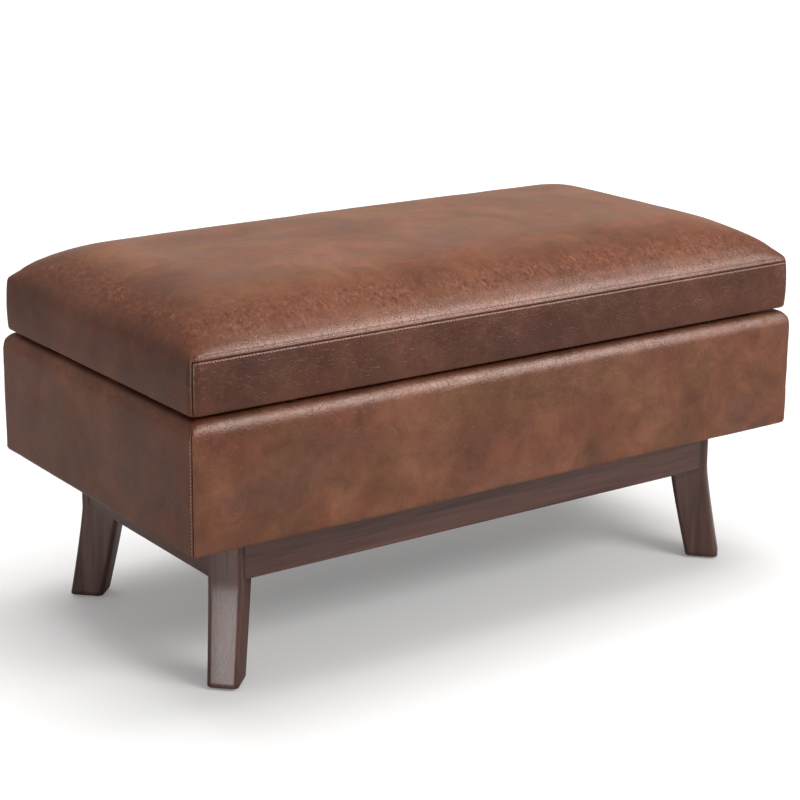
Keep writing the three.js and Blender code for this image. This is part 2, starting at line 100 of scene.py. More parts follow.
LID_TUCK = 2.5 * MM  # the lid's edges pull in this far behind its CAD face
FOAM_CELL = 10 * MM  # size of a cell of the simulated foam
FOAM_FRAMES = 20
FOAM_MOST = 8 * MM  # a point of the simulated foam moves no further than this
SWELL_PASSES = 24  # smoothing of the simulated swelling
SWELL_MOST = 1 * MM  # how far the smoothed swelling may move the leather
PLUMP = 4.5 * MM  # how far the soft top stands above the CAD cushion
FACE_PUFF = 1.2 * MM
LID_PUFF = 1.8 * MM
SEAM_DEPTH = 1.4 * MM
SEAM_WIDTH = 0.8 * MM
SEAM_ROWS = (0, 0.7 * MM, 1.3 * MM, 2.0 * MM, 2.7 * MM)  # grid rows next to a seam
STITCH_ROW = 3  # the seam row that carries the stitches
LIP_HEIGHT = 0.35 * MM  # of the raised edge between the seam and the upper stitches
GROOVE_DEPTH = 0.8 * MM  # under the upper stitches
STITCH = (4.1 * MM, 2.6 * MM, 0.36 * MM)  # pitch, length and radius of the lid's stitches
CORNER_STITCH = (4.2 * MM, 3.0 * MM, 0.26 * MM)  # the same at the box's corners
STAPLE = (55 * MM, 10 * MM, 0.5 * MM)  # the same for the staples in the black cloths
WEAR_FROM_SEAM = 66 * MM  # the top is most worn half this far in from a seam
WEAR_FROM_END = 56 * MM  # and half this far in from an end
STEP = 4 * MM  # size of a grid cell
CLOTH = 1 * MM
HEM = 12 * MM  # depth of the lining's hem
STAPLE_INSET = 7 * MM

# ---------- sizes of the base ----------
LEG_SETBACK = 24 * MM
LEG_TOP = (46 * MM, 40 * MM)  # along the leg's diagonal, and across it
LEG_FOOT = (41 * MM, 36 * MM)
LEG_SPLAY = 21 * MM
LEG_CURVE = 1.15
LEG_RADIUS = 6 * MM
BEND_Z = 116 * MM
RAIL_THICKNESS = 20 * MM
RAIL_ROUND = 3 * MM
SHARP_ANGLE = math.radians(50)  # wooden edges sharper than this stay crisp
GAP = 0.3 * MM


# ---------- node materials ----------
class Graph:
    """A material's node tree, with short calls to add to it."""

    def __init__(self, name):
        self.material = bpy.data.materials.new(name)
        self.material.use_nodes = True
        self.tree = self.material.node_tree
        self.shader = self.tree.nodes["Principled BSDF"]
        self.coords = self.add("ShaderNodeTexCoord").outputs["Object"]

    def add(self, kind, inputs=None, **settings):
        node = self.tree.nodes.new(kind)
        for key, value in settings.items():
            setattr(node, key, value)
        for key, value in (inputs or {}).items():
            self.feed(node.inputs[key], value)
        return node

    def feed(self, socket, value):
        if isinstance(value, bpy.types.NodeSocket):
            self.tree.links.new(value, socket)
        else:
            socket.default_value = value

    def set(self, **values):
        for key, value in values.items():
            self.feed(self.shader.inputs[key.replace("_", " ")], value)

    def stretched(self, scale, vector=None):
        inputs = {"Vector": vector or self.coords, "Scale": scale}
        return self.add("ShaderNodeMapping", inputs).outputs["Vector"]

    def noise(self, scale, detail=4.0, rough=0.55, bend=0.0, vector=None):
        inputs = {"Vector": vector or self.coords, "Scale": scale, "Detail": detail}
        inputs.update({"Roughness": rough, "Distortion": bend})
        return self.add("ShaderNodeTexNoise", inputs).outputs["Fac"]

    def cells(self, scale, vector=None, feature="DISTANCE_TO_EDGE"):
        inputs = {"Vector": vector or self.coords, "Scale": scale}
        return self.add("ShaderNodeTexVoronoi", inputs, feature=feature).outputs["Distance"]

    def warped(self, scale, amount):
        colour = self.add("ShaderNodeTexNoise", {"Vector": self.coords, "Scale": scale}).outputs["Color"]
        inputs = {0: colour, 1: (amount, amount, amount), 2: self.coords}
        return self.add("ShaderNodeVectorMath", inputs, operation="MULTIPLY_ADD").outputs[0]

    def ramp(self, value, stops):
        node = self.add("ShaderNodeValToRGB", {"Fac": value})
        elements = node.color_ramp.elements
        while len(elements) < len(stops):
            elements.new(0.5)
        for element, (place, colour) in zip(elements, stops):
            element.position = place
            element.color = (*colour, 1) if hasattr(colour, "__len__") else (colour, colour, colour, 1)
        return node.outputs["Color"]

    def mix(self, factor, a, b, blend="MIX"):
        node = self.add("ShaderNodeMix", data_type="RGBA", blend_type=blend)
        self.feed(node.inputs["Factor"], factor)
        self.feed(node.inputs[6], (*a, 1) if isinstance(a, tuple) else a)
        self.feed(node.inputs[7], (*b, 1) if isinstance(b, tuple) else b)
        return node.outputs[2]

    def math(self, operation, a, b=0.0):
        return self.add("ShaderNodeMath", {0: a, 1: b}, operation=operation).outputs[0]

    def spread(self, value, low, high, to_low=0.0, to_high=1.0):
        inputs = {"Value": value, "From Min": low, "From Max": high, "To Min": to_low, "To Max": to_high}
        return self.add("ShaderNodeMapRange", inputs).outputs["Result"]

    def attribute(self, name):
        return self.add("ShaderNodeAttribute", attribute_name=name).outputs["Fac"]

    def bump(self, heights):
        """heights: (height socket, metres) pairs, coarse first."""
        normal = None
        for height, distance in heights:
            node = self.add("ShaderNodeBump", {"Height": height, "Strength": 1.0, "Distance": distance})
            if normal is not None:
                self.feed(node.inputs["Normal"], normal)
            normal = node.outputs["Normal"]
        self.set(Normal=normal)


LEATHER_DARK = (0.105, 0.033, 0.015)
LEATHER_MID = (0.165, 0.056, 0.025)
LEATHER_LIGHT = (0.225, 0.085, 0.040)
LEATHER_OLIVE = (0.155, 0.070, 0.026)
LEATHER_RED = (0.175, 0.046, 0.023)
LEATHER_DUSK = (0.120, 0.048, 0.034)
LEATHER_WORN = (0.150, 0.044, 0.020)
LEATHER_PAINTED_SHADE = (0.50, 0.41, 0.46)  # what a tone of 1 multiplies the hide by: painted shade
LEATHER_PALE = (0.34, 0.14, 0.07)  # light scuffs
LEATHER_SCUFF = (0.05, 0.012, 0.006)  # dark scuffs
LEATHER_CREASE = (0.05, 0.016, 0.01)


def leather_material():
    graph = Graph("brown_leather")
    clouds = graph.noise(8.5, 6.0, 0.62, 0.5)
    hue = graph.noise(14.0, 5.0, 0.6, 0.4, graph.stretched((1.0, 1.3, 0.8)))
    dusk = graph.noise(6.0, 5.0, 0.6, 0.6, graph.stretched((0.8, 1.0, 1.7)))
    blotches = graph.noise(30.0, 6.0, 0.64, 0.8)
    base = graph.ramp(clouds, [(0.32, LEATHER_DARK), (0.5, LEATHER_MID), (0.68, LEATHER_LIGHT)])
    base = graph.mix(graph.spread(hue, 0.48, 0.64, 0.0, 0.4), base, LEATHER_OLIVE)
    base = graph.mix(graph.spread(hue, 0.47, 0.34, 0.0, 0.6), base, LEATHER_RED)
    base = graph.mix(graph.spread(dusk, 0.52, 0.68, 0.0, 0.6), base, LEATHER_DUSK)
    contrast = graph.ramp(blotches, [(0.3, 0.28), (0.52, 0.5), (0.72, 0.72)])
    mottled = graph.mix(0.6, base, contrast, "OVERLAY")
    # A tone of 1 paints the hide darker: painted shade on the ends and rolls, and darker lid strips.
    deep = graph.mix(1.0, mottled, LEATHER_PAINTED_SHADE, "MULTIPLY")
    with_painted_shade = graph.mix(graph.attribute("tone"), mottled, deep)
    patches = graph.spread(graph.noise(16.0, 5.0, 0.65, 0.6), 0.36, 0.6)
    patchy = graph.math("ADD", 0.35, graph.math("MULTIPLY", patches, 0.75))
    wear = graph.math("MULTIPLY", graph.attribute("wear"), patchy)
    strokes = graph.stretched((1.4, 0.9, 1.0), graph.warped(30.0, 0.013))
    feather = graph.noise(135.0, 6.0, 0.72, 0.9, strokes)
    scuffs = graph.math("MULTIPLY", feather, wear)
    pale = graph.math("MULTIPLY", graph.spread(feather, 0.53, 0.62), wear)
    dark = graph.math("MULTIPLY", graph.spread(feather, 0.47, 0.38), wear)
    worn = graph.mix(graph.math("MULTIPLY", wear, 0.7), with_painted_shade, LEATHER_WORN)
    worn = graph.mix(graph.math("MULTIPLY", pale, 0.42), worn, LEATHER_PALE)
    worn = graph.mix(graph.math("MULTIPLY", dark, 0.75), worn, LEATHER_SCUFF)
    crease = graph.spread(graph.cells(120.0, graph.warped(60.0, 0.02)), 0.0, 0.05)
    creased = graph.math("MULTIPLY", graph.math("SUBTRACT", 1.0, crease), 0.15)
    worn = graph.mix(creased, worn, LEATHER_CREASE)
    graph.set(Base_Color=worn)
    rough = graph.spread(blotches, 0.3, 0.7, 0.3, 0.42)
    graph.set(Roughness=graph.math("ADD", rough, graph.math("MULTIPLY", scuffs, 0.16)))
    graph.set(Specular_IOR_Level=0.36, Specular_Tint=(1.0, 0.84, 0.78, 1))
    grain = graph.cells(620.0, graph.warped(200.0, 0.004), "F1")
    pores = graph.noise(1300.0, 3.0, 0.6)
    graph.bump([
        (blotches, 0.0006),
        (crease, 0.0001),
        (scuffs, 0.0004),
        (grain, 0.00007),
        (pores, 0.00003),
    ])
    return graph.material


def thread_material():
    graph = Graph("stitching_thread")
    twist = graph.noise(900.0, 2.0, 0.5, 1.0)
    graph.set(Base_Color=graph.mix(twist, (0.32, 0.16, 0.11), (0.55, 0.32, 0.24)), Roughness=0.55)
    graph.bump([(twist, 0.0002)])
    return graph.material


WALNUT_DARK = (0.056, 0.021, 0.015)
WALNUT_MID = (0.098, 0.038, 0.027)
WALNUT_LIGHT = (0.145, 0.058, 0.041)


def walnut_material(name, grain):
    """Dark stained walnut; grain is the texture's stretch, small along the fibres."""
    graph = Graph(name)
    fibres = graph.noise(1.0, 7.0, 0.62, 0.6, graph.stretched(grain))
    bands = graph.noise(1.0, 3.0, 0.5, 1.2, graph.stretched(tuple(0.16 * g for g in grain)))
    colour = graph.ramp(fibres, [(0.3, WALNUT_DARK), (0.52, WALNUT_MID), (0.75, WALNUT_LIGHT)])
    tint = graph.ramp(bands, [(0.35, 0.36), (0.65, 0.62)])
    pores = graph.noise(1.0, 2.0, 0.5, 0.0, graph.stretched(tuple(4.5 * g for g in grain)))
    graph.set(Base_Color=graph.mix(0.6, colour, tint, "OVERLAY"))
    graph.set(Roughness=graph.spread(fibres, 0.3, 0.7, 0.3, 0.42))
    graph.set(Specular_IOR_Level=0.4, Coat_Weight=0.12, Coat_Roughness=0.25)
    graph.bump([(fibres, 0.00009), (graph.spread(pores, 0.3, 0.5), 0.00004)])
    return graph.material


def plywood_material():
    graph = Graph("raw_plywood")
    fibres = graph.noise(1.0, 6.0, 0.6, 0.8, graph.stretched((9.0, 110.0, 160.0)))
    inputs = {"Vector": graph.coords, "Scale": 95.0, "Distortion": 0.6}
    plies = graph.add("ShaderNodeTexWave", inputs, bands_direction="Z").outputs["Fac"]
    colour = graph.ramp(fibres, [(0.3, (0.44, 0.27, 0.14)), (0.7, (0.66, 0.47, 0.28))])
    colour = graph.mix(graph.math("MULTIPLY", plies, 0.22), colour, (0.30, 0.17, 0.09))
    graph.set(Base_Color=colour, Roughness=graph.spread(fibres, 0.3, 0.7, 0.7, 0.85))
    graph.bump([(fibres, 0.0003)])
    return graph.material


def cloth_material():
    """Black non-woven cloth with a dimpled press pattern."""
    graph = Graph("black_nonwoven_cloth")
    fibres = graph.noise(520.0, 6.0, 0.75, 1.5)
    dimples = graph.cells(430.0, None, "F1")
    graph.set(Base_Color=graph.ramp(fibres, [(0.35, 0.009), (0.7, 0.035)]))
    graph.set(Roughness=0.9, Sheen_Weight=0.06)
    graph.bump([(dimples, 0.0005), (fibres, 0.0002)])
    return graph.material


def steel_material():
    graph = Graph("zinc_plated_steel")
    brushed = graph.noise(1.0, 5.0, 0.6, 0.0, graph.stretched((60.0, 1400.0, 1400.0)))
    stains = graph.noise(90.0, 4.0)
    colour = graph.ramp(stains, [(0.3, (0.46, 0.45, 0.42)), (0.7, (0.66, 0.66, 0.64))])
    graph.set(Base_Color=colour, Metallic=1.0)
    graph.set(Roughness=graph.spread(brushed, 0.3, 0.7, 0.26, 0.42))
    graph.bump([(brushed, 0.00006)])
    return graph.material


def moulded_material(name, low, high, roughness):
    graph = Graph(name)
    texture = graph.noise(1500.0, 3.0, 0.6)
    wear = graph.noise(60.0, 4.0)
    graph.set(Base_Color=graph.ramp(wear, [(0.3, low), (0.7, high)]))
    graph.set(Roughness=graph.spread(wear, 0.3, 0.7, roughness, roughness + 0.12), Specular_IOR_Level=0.08)
    graph.bump([(texture, 0.0001)])
    return graph.material


# ---------- meshes ----------
def piece(name, points, faces, finish, body):
    mesh = bpy.data.meshes.new(name)
    mesh.from_pydata([tuple(p) for p in points], [], faces)
    mesh.update()
    mesh.shade_smooth()
    made = bpy.data.objects.new(name, mesh)
    bpy.context.scene.collection.objects.link(made)
    made.data.materials.append(MATERIALS[finish])
    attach(made, body)
    return made


def grid_faces(rows, columns):
    return [
        (r * columns + c, r * columns + c + 1, (r + 1) * columns + c + 1, (r + 1) * columns + c)
        for r in range(rows - 1)
        for c in range(columns - 1)
    ]


def grid_normals(grid):
    """Unit normals of a grid of points, from its neighbours."""
    across = np.gradient(grid, axis=1)
    down = np.gradient(grid, axis=0)
    normals = np.cross(across, down)
    return normals / np.maximum(np.linalg.norm(normals, axis=2, keepdims=True), 1e-12)


def spaced(start, end, step):
    count = max(2, int(round(abs(end - start) / step)) + 1)
    return np.linspace(start, end, count)


def clamped(values):
    return np.clip(values, 0, 1)


def bell(distance, width):
    """1 where the distance is 0, falling smoothly to almost 0 at twice the width."""
    return np.exp(-((distance / width) ** 2))


def loft_faces(rings, sides, first=0):
    """Faces of a tube through rings of points, closed at both ends, from point number first on."""
    faces = []
    for ring in range(rings - 1):
        for k in range(sides):
            a = first + ring * sides + k
            b = first + ring * sides + (k + 1) % sides
            faces.append((a, b, b + sides, a + sides))
    faces.append(tuple(first + k for k in reversed(range(sides))))
    faces.append(tuple(first + (rings - 1) * sides + k for k in range(sides)))
    return faces


def grid_piece(name, grid, finish, body, thickness):
    """A skin with its seen face at the grid, whose normals point the way it is seen from."""
    rows, columns = grid.shape[:2]
    made = piece(name, grid.reshape(-1, 3), grid_faces(rows, columns), finish, body)
    skin = made.modifiers.new("thickness", "SOLIDIFY")
    skin.thickness = thickness
    skin.offset = -1.0
    return made


def leather_piece(name, grid, wear, tone, body, replaced):
    """A skin of leather. More wear shows more scuffs, and more tone paints the hide darker: painted shade on
    the ends and rolls.
    """
    made = grid_piece(name, grid, "leather", body, LEATHER)
    for label, values in (("wear", wear), ("tone", np.broadcast_to(tone, wear.shape))):
        attribute = made.data.attributes.new(label, "FLOAT", "POINT")
        attribute.data.foreach_set("value", values.reshape(-1).astype(np.float32))
    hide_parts(*replaced)


def smooth_noise(points, scale, seed):
    """Soft noise from -1 to 1 at each point, eased between scattered values on a lattice."""
    place = points * scale + seed * 7.31
    cell = np.floor(place).astype(np.int64)
    part = place - cell
    ease = part * part * (3 - 2 * part)
    total = np.zeros(points.shape[:-1])
    for corner in np.ndindex(2, 2, 2):
        at = cell + corner
        key = (at[..., 0] * 73856093) ^ (at[..., 1] * 19349663) ^ (at[..., 2] * 83492791)
        value = np.sin((key % 65536) * 12.9898) * 43758.5453
        weight = np.prod(np.where(corner, ease, 1 - ease), axis=-1)
        total += weight * (2 * (value - np.floor(value)) - 1)
    return total


def point_along(path, reach, distance):
    """The point at a distance along a path, where reach holds the distance of each of its points."""
    return np.array([np.interp(distance, reach, path[:, k]) for k in range(3)])


def stitches(name, path, normals, body, size=STITCH, finish="thread"):
    """A row of stitches or staples along a path, half sunk. size is their pitch, length and radius."""
    pitch, length, radius = size
    path = np.asarray(path)
    steps = np.linalg.norm(np.diff(path, axis=0), axis=1)
    reach = np.concatenate([[0], np.cumsum(steps)])
    points, faces = [], []
    rings, sides = 5, 6
    for number in range(int(reach[-1] / pitch)):
        middle = (number + 0.5) * pitch
        centre = point_along(path, reach, middle)
        ahead = point_along(path, reach, middle + 0.2 * length)
        along = ahead - point_along(path, reach, middle - 0.2 * length)
        along /= np.linalg.norm(along)
        side = np.cross(point_along(normals, reach, middle), along)
        side /= np.linalg.norm(side)
        up = np.cross(along, side)
        faces += loft_faces(rings, sides, len(points))
        for ring in range(rings):
            travel = ring / (rings - 1) * 2 - 1
            thick = radius * math.sqrt(max(1 - abs(travel) ** 3, 0.02))
            lift = radius * (0.75 - 0.9 * travel * travel)
            for turn in range(sides):
                angle = 2 * math.pi * turn / sides
                offset = side * (1.25 * thick * math.cos(angle)) + up * (thick * math.sin(angle) + lift)
                points.append(centre + along * (travel * length / 2) + offset)
    piece(name, points, faces, finish, body)


# ---------- the box's leather covers ----------
def arc(centre, radius, start, end, count):
    """Points on an arc in the (inwards, up) plane, from one angle to another in degrees."""
    angles = np.radians(np.linspace(start, end, count))
    return np.asarray(centre) + radius * np.stack([np.cos(angles), np.sin(angles)], axis=1)


def cover_path():
    """(inwards, height) of a cover's outside, from its edge under the box to its edge inside."""
    under = [(x, BOX_LOW) for x in spaced(RETURN_UNDER, LOW_RADIUS + STEP, STEP)]
    low = arc((LOW_RADIUS, BOX_LOW + LOW_RADIUS), LOW_RADIUS, -90, -180, 6)
    face = [(0, z) for z in spaced(BOX_LOW + LOW_RADIUS, BOX_HIGH - RIM_DOWN, STEP)[1:-1]]
    rim = arc((1, 0), 1, 180, 90, 14) * (RIM_DEEP, RIM_DOWN) + (0, BOX_HIGH - RIM_DOWN)
    top = [(x, BOX_HIGH) for x in spaced(RIM_DEEP, INNER_FACE - RIM_INNER_RADIUS, 2 * STEP / 3)[1:-1]]
    turn = arc((INNER_FACE - RIM_INNER_RADIUS, BOX_HIGH - RIM_INNER_RADIUS), RIM_INNER_RADIUS, 90, 0, 5)
    inside = [(INNER_FACE, z) for z in spaced(BOX_HIGH - RIM_INNER_RADIUS, RETURN_LOW + GAP, STEP)[1:]]
    return np.array([*under, *low, *face, *rim, *top, *turn, *inside])


def box_cover(side, half, turn, centre, seed):
    path = cover_path()
    straight = spaced(-1, 1, STEP / half)
    bends = np.linspace(0, math.pi / 4, 6)[1:]
    grid = np.zeros((len(path), len(straight) + 2 * len(bends), 3))
    for row, (inwards, z) in enumerate(path):
        radius = max(BOX_CORNER - inwards, 0.5 * MM)
        flat = half - inwards - radius
        right = [(flat + radius * math.sin(a), inwards + radius * (1 - math.cos(a))) for a in bends]
        left = [(-x, y) for x, y in reversed(right)]
        line = [*left, *[(s * flat, inwards) for s in straight], *right]
        grid[row, :, 0] = [x for x, _ in line]
        grid[row, :, 1] = [y for _, y in line]
        grid[row, :, 2] = z
    normals = grid_normals(grid)
    from_end = half - np.abs(grid[:, :, 0])
    inwards, height = grid[:, :, 1], grid[:, :, 2]
    up = clamped((height - BOX_LOW) / (BOX_HIGH - BOX_LOW))
    outer = clamped(1 - inwards / RIM_DEEP) ** 0.5
    puff = FACE_PUFF * outer * np.sin(math.pi * up) ** 0.6 * (1 - np.exp(-from_end / (30 * MM)))
    from_mitre = from_end - inwards
    seam = -SEAM_DEPTH * bell(from_mitre, SEAM_WIDTH) * clamped(1 - inwards / (12 * MM))
    waves = 0.45 * MM * smooth_noise(grid, 9.0, seed) + 0.22 * MM * smooth_noise(grid, 30.0, seed + 1)
    rim = bell(height - BOX_HIGH + 6 * MM, 10 * MM)
    ripples = 0.3 * MM * rim * smooth_noise(grid * (1, 1, 0.4), 110.0, seed + 2)
    tension = 0.5 * MM * np.exp(-from_end / (16 * MM)) * np.sin(height / (7 * MM))
    tension = tension * smooth_noise(grid, 50.0, seed + 3)
    grid = grid + normals * (puff + seam + (waves + ripples + tension) * outer)[:, :, None]
    wear = 0.35 * rim + 0.08 + 0.25 * np.exp(-from_end / (20 * MM))
    spin = np.array(Matrix.Rotation(turn, 3, "Z"))
    place = grid @ spin.T + np.array([*centre, 0])
    # Painted shade: the box's ends are painted darker than its front and back.
    tone = 0.42 if side in ("left", "right") else 0
    replaced = [f"cover_{side}", f"padding_{side}"]
    leather_piece(f"box_cover_{side}", place, wear, tone, "base", replaced)
    if side in ("left", "right"):
        turned = normals @ spin.T
        face = np.where((path[:, 0] < 0.3 * MM) & (path[:, 1] > BOX_LOW + 4 * MM))[0]
        for end, column in (("left", 3), ("right", -4)):
            name = f"box_stitching_{side}_{end}"
            stitches(name, place[face, column], turned[face, column], "base", CORNER_STITCH)


def make_box_covers():
    sides = [
        ("front", HALF_X, 0, (0, -HALF_Y)),
        ("right", HALF_Y, math.pi / 2, (HALF_X, 0)),
        ("back", HALF_X, math.pi, (0, HALF_Y)),
        ("left", HALF_Y, -math.pi / 2, (-HALF_X, 0)),
    ]
    for seed, (side, half, turn, centre) in enumerate(sides):
        box_cover(side, half, turn, centre, 10 * seed + 1)


# ---------- the lid's cushion ----------
EDGE_X = LID_HALF_X - LID_TUCK
EDGE_Y = LID_HALF_Y - LID_TUCK


def swollen_foam():
    """The foam puffed up by a cloth simulation: (kd-tree of its points at rest, their moves)."""
    foam = bpy.data.objects.new("foam_simulation", NODES["lid_foam"].data.copy())
    bpy.context.scene.collection.objects.link(foam)
    bpy.context.view_layer.objects.active = foam
    remesh = foam.modifiers.new("remesh", "REMESH")
    remesh.mode = "VOXEL"
    remesh.voxel_size = FOAM_CELL
    apply_modifiers(foam)
    rest = vertex_array(foam.data)
    held = foam.vertex_groups.new(name="held")
    low = LID_LOW + 16 * MM
    held.add([i for i, p in enumerate(rest) if p[2] < low], 1.0, "REPLACE")
    cloth = foam.modifiers.new("cloth", "CLOTH")
    settings = cloth.settings
    settings.quality = 4
    settings.mass = 0.3
    settings.tension_stiffness = 25
    settings.compression_stiffness = 25
    settings.shear_stiffness = 8
    settings.bending_stiffness = 4
    settings.vertex_group_mass = "held"
    settings.use_pressure = True
    settings.uniform_pressure_force = 4.0
    settings.effector_weights.gravity = 0.0
    scene = bpy.context.scene
    cloth.point_cache.frame_start = 1
    cloth.point_cache.frame_end = FOAM_FRAMES
    for number in range(1, FOAM_FRAMES + 1):
        scene.frame_set(number)
    apply_modifiers(foam)
    moves = vertex_array(foam.data) - rest
    scene.frame_set(1)
    bpy.data.objects.remove(foam)
    reach = np.linalg.norm(moves, axis=1, keepdims=True)
    moves *= np.minimum(1, FOAM_MOST / np.maximum(reach, 1e-9))
    tree = kdtree.KDTree(len(rest))
    for number, p in enumerate(rest):
        tree.insert(Vector(p), number)
    tree.balance()
    return tree, moves


def apply_modifiers(target):
    graph = bpy.context.evaluated_depsgraph_get()
    mesh = bpy.data.meshes.new_from_object(target.evaluated_get(graph))
    target.modifiers.clear()
    target.data = mesh


def vertex_array(mesh):
    values = np.zeros(len(mesh.vertices) * 3, np.float32)
    mesh.vertices.foreach_get("co", values)
    return values.reshape(-1, 3).astype(float)


def swelling(grid, normals, simulation):
    """How far the simulation moved the foam under each point of a grid, along the grid's normal."""
    out = np.zeros(grid.shape[:2])
    if simulation is None:
        return out
    tree, moves = simulation
    for index in np.ndindex(out.shape):
        found = tree.find_n(Vector(grid[index]), 6)
        weights = np.array([1 / (f[2] + 2 * MM) for f in found])
        move = (moves[[f[1] for f in found]] * weights[:, None]).sum(axis=0) / weights.sum()
        out[index] = move @ normals[index]
    for _ in range(SWELL_PASSES):
        framed = np.pad(out, 1, mode="edge")
        out = (framed[2:, 1:-1] + framed[:-2, 1:-1] + framed[1:-1, 2:] + framed[1:-1, :-2] + 2 * out) / 6
    return out


def limited(moves, most):
    """Keeps moves smoothly between -most and most."""
    return most * np.tanh(moves / (4 * most))


def rolled(from_edge, roll, fullness, start=0):
    """Rise, 0 to 1, of the cushion at a distance in from its edge. start cuts off its upright beginning."""
    left = 1 - clamped((from_edge + start) / (roll + start))
    cut = (1 - (roll / (roll + start)) ** fullness) ** (1 / fullness)
    rise = (1 - left**fullness) ** (1 / fullness)
    return np.maximum(rise - cut, 0) / (1 - cut)


def cushion_height(x, y):
    end = rolled(EDGE_X - np.abs(x), END_ROLL, END_FULLNESS)
    front = rolled(EDGE_Y - np.abs(y), SEAM_ROLL, SEAM_FULLNESS, SEAM_START)
    both = (end**CORNER_BLEND + front**CORNER_BLEND - (end * front) ** CORNER_BLEND) ** (1 / CORNER_BLEND)
    rise = np.divide(end * front, both, out=np.zeros_like(end), where=both > 1e-9)
    middle = (1 - (x / EDGE_X) ** 2) * (1 - (y / EDGE_Y) ** 2)
    return SEAM_Z + CROWN * rise + DOME * middle * rise


def eased_height(x, y):
    """The cushion's height as a mean over a ring, which is smaller next to the edges."""
    reach = np.minimum(RIDGE, np.minimum(EDGE_X - np.abs(x), EDGE_Y - np.abs(y)))
    turns = np.linspace(0, 2 * math.pi, 16, endpoint=False)
    ring = [cushion_height(x + reach * math.cos(turn), y + reach * math.sin(turn)) for turn in turns]
    return np.mean(ring, axis=0)


def rounded_plan(x, y, half_x, half_y, radius):
    """Pulls the square corners of a rectangle into round ones."""
    dx = np.abs(x) - (half_x - radius)
    dy = np.abs(y) - (half_y - radius)
    corner = (dx > 0) & (dy > 0)
    scale = np.where(corner, np.maximum(dx, dy) / np.maximum(np.hypot(dx, dy), 1e-9), 1)
    new_x = np.where(corner, np.sign(x) * (half_x - radius + dx * scale), x)
    new_y = np.where(corner, np.sign(y) * (half_y - radius + dy * scale), y)
    return new_x, new_y


def edge_path():
    """(inwards, height) of the lid's edge from the cut edge of the leather under the lid up to the seam."""
    under = [(x, LID_LOW) for x in spaced(RETURN_UNDER, LID_EDGE_RADIUS + STEP, STEP)]
    low = arc((LID_EDGE_RADIUS, LID_LOW + LID_EDGE_RADIUS), LID_EDGE_RADIUS, -90, -180, 7)
    face = [(0, z) for z in spaced(LID_LOW + LID_EDGE_RADIUS, SEAM_Z - SEAM_ROWS[-1], STEP * 0.75)[1:-1]]
    at_seam = [(0, SEAM_Z - below) for below in reversed(SEAM_ROWS)]
    return np.array([*under, *low, *face, *at_seam])


def stations(half, roll):
    """Places from -half to half, close together where the cushion rolls off and next to the seams."""
    bend = half - roll * (1 - np.cos(np.linspace(0, math.pi / 2, 30)))
    side = np.concatenate([half - np.array(SEAM_ROWS), bend[bend < half - SEAM_ROWS[-1] - 0.8 * MM]])
    middle = spaced(side[-1], -side[-1], STEP * 1.3)[1:-1]
    return np.concatenate([-side, middle[::-1], side[::-1]])


def edge_puff(z):
    up = clamped((z - LID_LOW) / (SEAM_Z - LID_LOW))
    return LID_PUFF * np.sin(math.pi * up) ** 0.8


def corner_gathers(from_corner, below):
    """Small level puckers under the seam next to a corner."""
    fade = bell(from_corner - 8 * MM, 7 * MM) * bell(below - 16 * MM, 14 * MM)
    return 0.5 * MM * fade * np.sin(below / (1.7 * MM) + from_corner / (5 * MM))


def eased_shoulder(grid, junction, fade):
    """Rounds the turn from an end wall to the top, at one row of the grid, by averaging the rows near it."""
    middle = grid[:, grid.shape[1] // 2]
    travel = np.concatenate([[0], np.cumsum(np.linalg.norm(np.diff(middle, axis=0), axis=1))])
    weights = bell(travel[:, None] - travel[None], SHOULDER) * np.gradient(travel)[None]
    mean = np.einsum("rk,kcd->rcd", weights / weights.sum(axis=1, keepdims=True), grid)
    near = bell(travel - travel[junction], 3 * SHOULDER)
    return grid + (mean - grid) * (near[:, None] * fade[None])[:, :, None]


def lid_strip(side, simulation):
    """A strip from corner to corner of the lid's front or back, turned under at its lower edge."""
    path = edge_path()
    across = stations(EDGE_X, END_ROLL) / EDGE_X
    way = 1 if side == "front" else -1
    grid = np.zeros((len(path), len(across), 3))
    for row, (inwards, z) in enumerate(path):
        radius = max(LID_CORNER - inwards, 0.5 * MM)
        half_x, half_y = EDGE_X - inwards, EDGE_Y - inwards
        x, y = rounded_plan(across * half_x, np.full(len(across), -half_y), half_x, half_y, radius)
        grid[row] = np.stack([way * x, way * y, np.full(len(across), z)], axis=1)
    normals = grid_normals(grid)
    from_corner = EDGE_X - np.abs(grid[:, :, 0])
    from_join = np.broadcast_to(EDGE_X * (1 - np.abs(across)), from_corner.shape)
    height = grid[:, :, 2]
    below = SEAM_Z - height
    seam = -SEAM_DEPTH * (bell(below, SEAM_WIDTH) + 0.8 * bell(from_join, SEAM_WIDTH))
    joined = clamped(from_join / (30 * MM))
    seed = 41 if side == "front" else 45
    waves = 0.5 * MM * smooth_noise(grid, 14.0, seed) + 0.25 * MM * smooth_noise(grid, 45.0, 43)
    swell = limited(swelling(grid, normals, simulation), SWELL_MOST) * clamped(below / (20 * MM))
    shape = edge_puff(height) + seam + (waves * np.clip(below / (8 * MM), 0.2, 1) + swell) * joined
    shape = shape + corner_gathers(from_corner, below) * clamped(from_join / (5 * MM))
    shape = np.where(height > LID_LOW + 0.5 * MM, shape, 0)
    grid = grid + normals * shape[:, :, None]
    wear = 0.12 + 0.4 * np.exp(-from_corner / (30 * MM))
    # A tone of 0.92 paints the lid's strips much darker than the box's faces.
    leather_piece(f"lid_{side}_strip_cover", grid, wear, 0.92, "lid", [f"lid_{side}_strip"])
    row = -1 - STITCH_ROW
    stitches(f"lid_{side}_stitching_low", grid[row, 4:-4], normals[row, 4:-4], "lid")


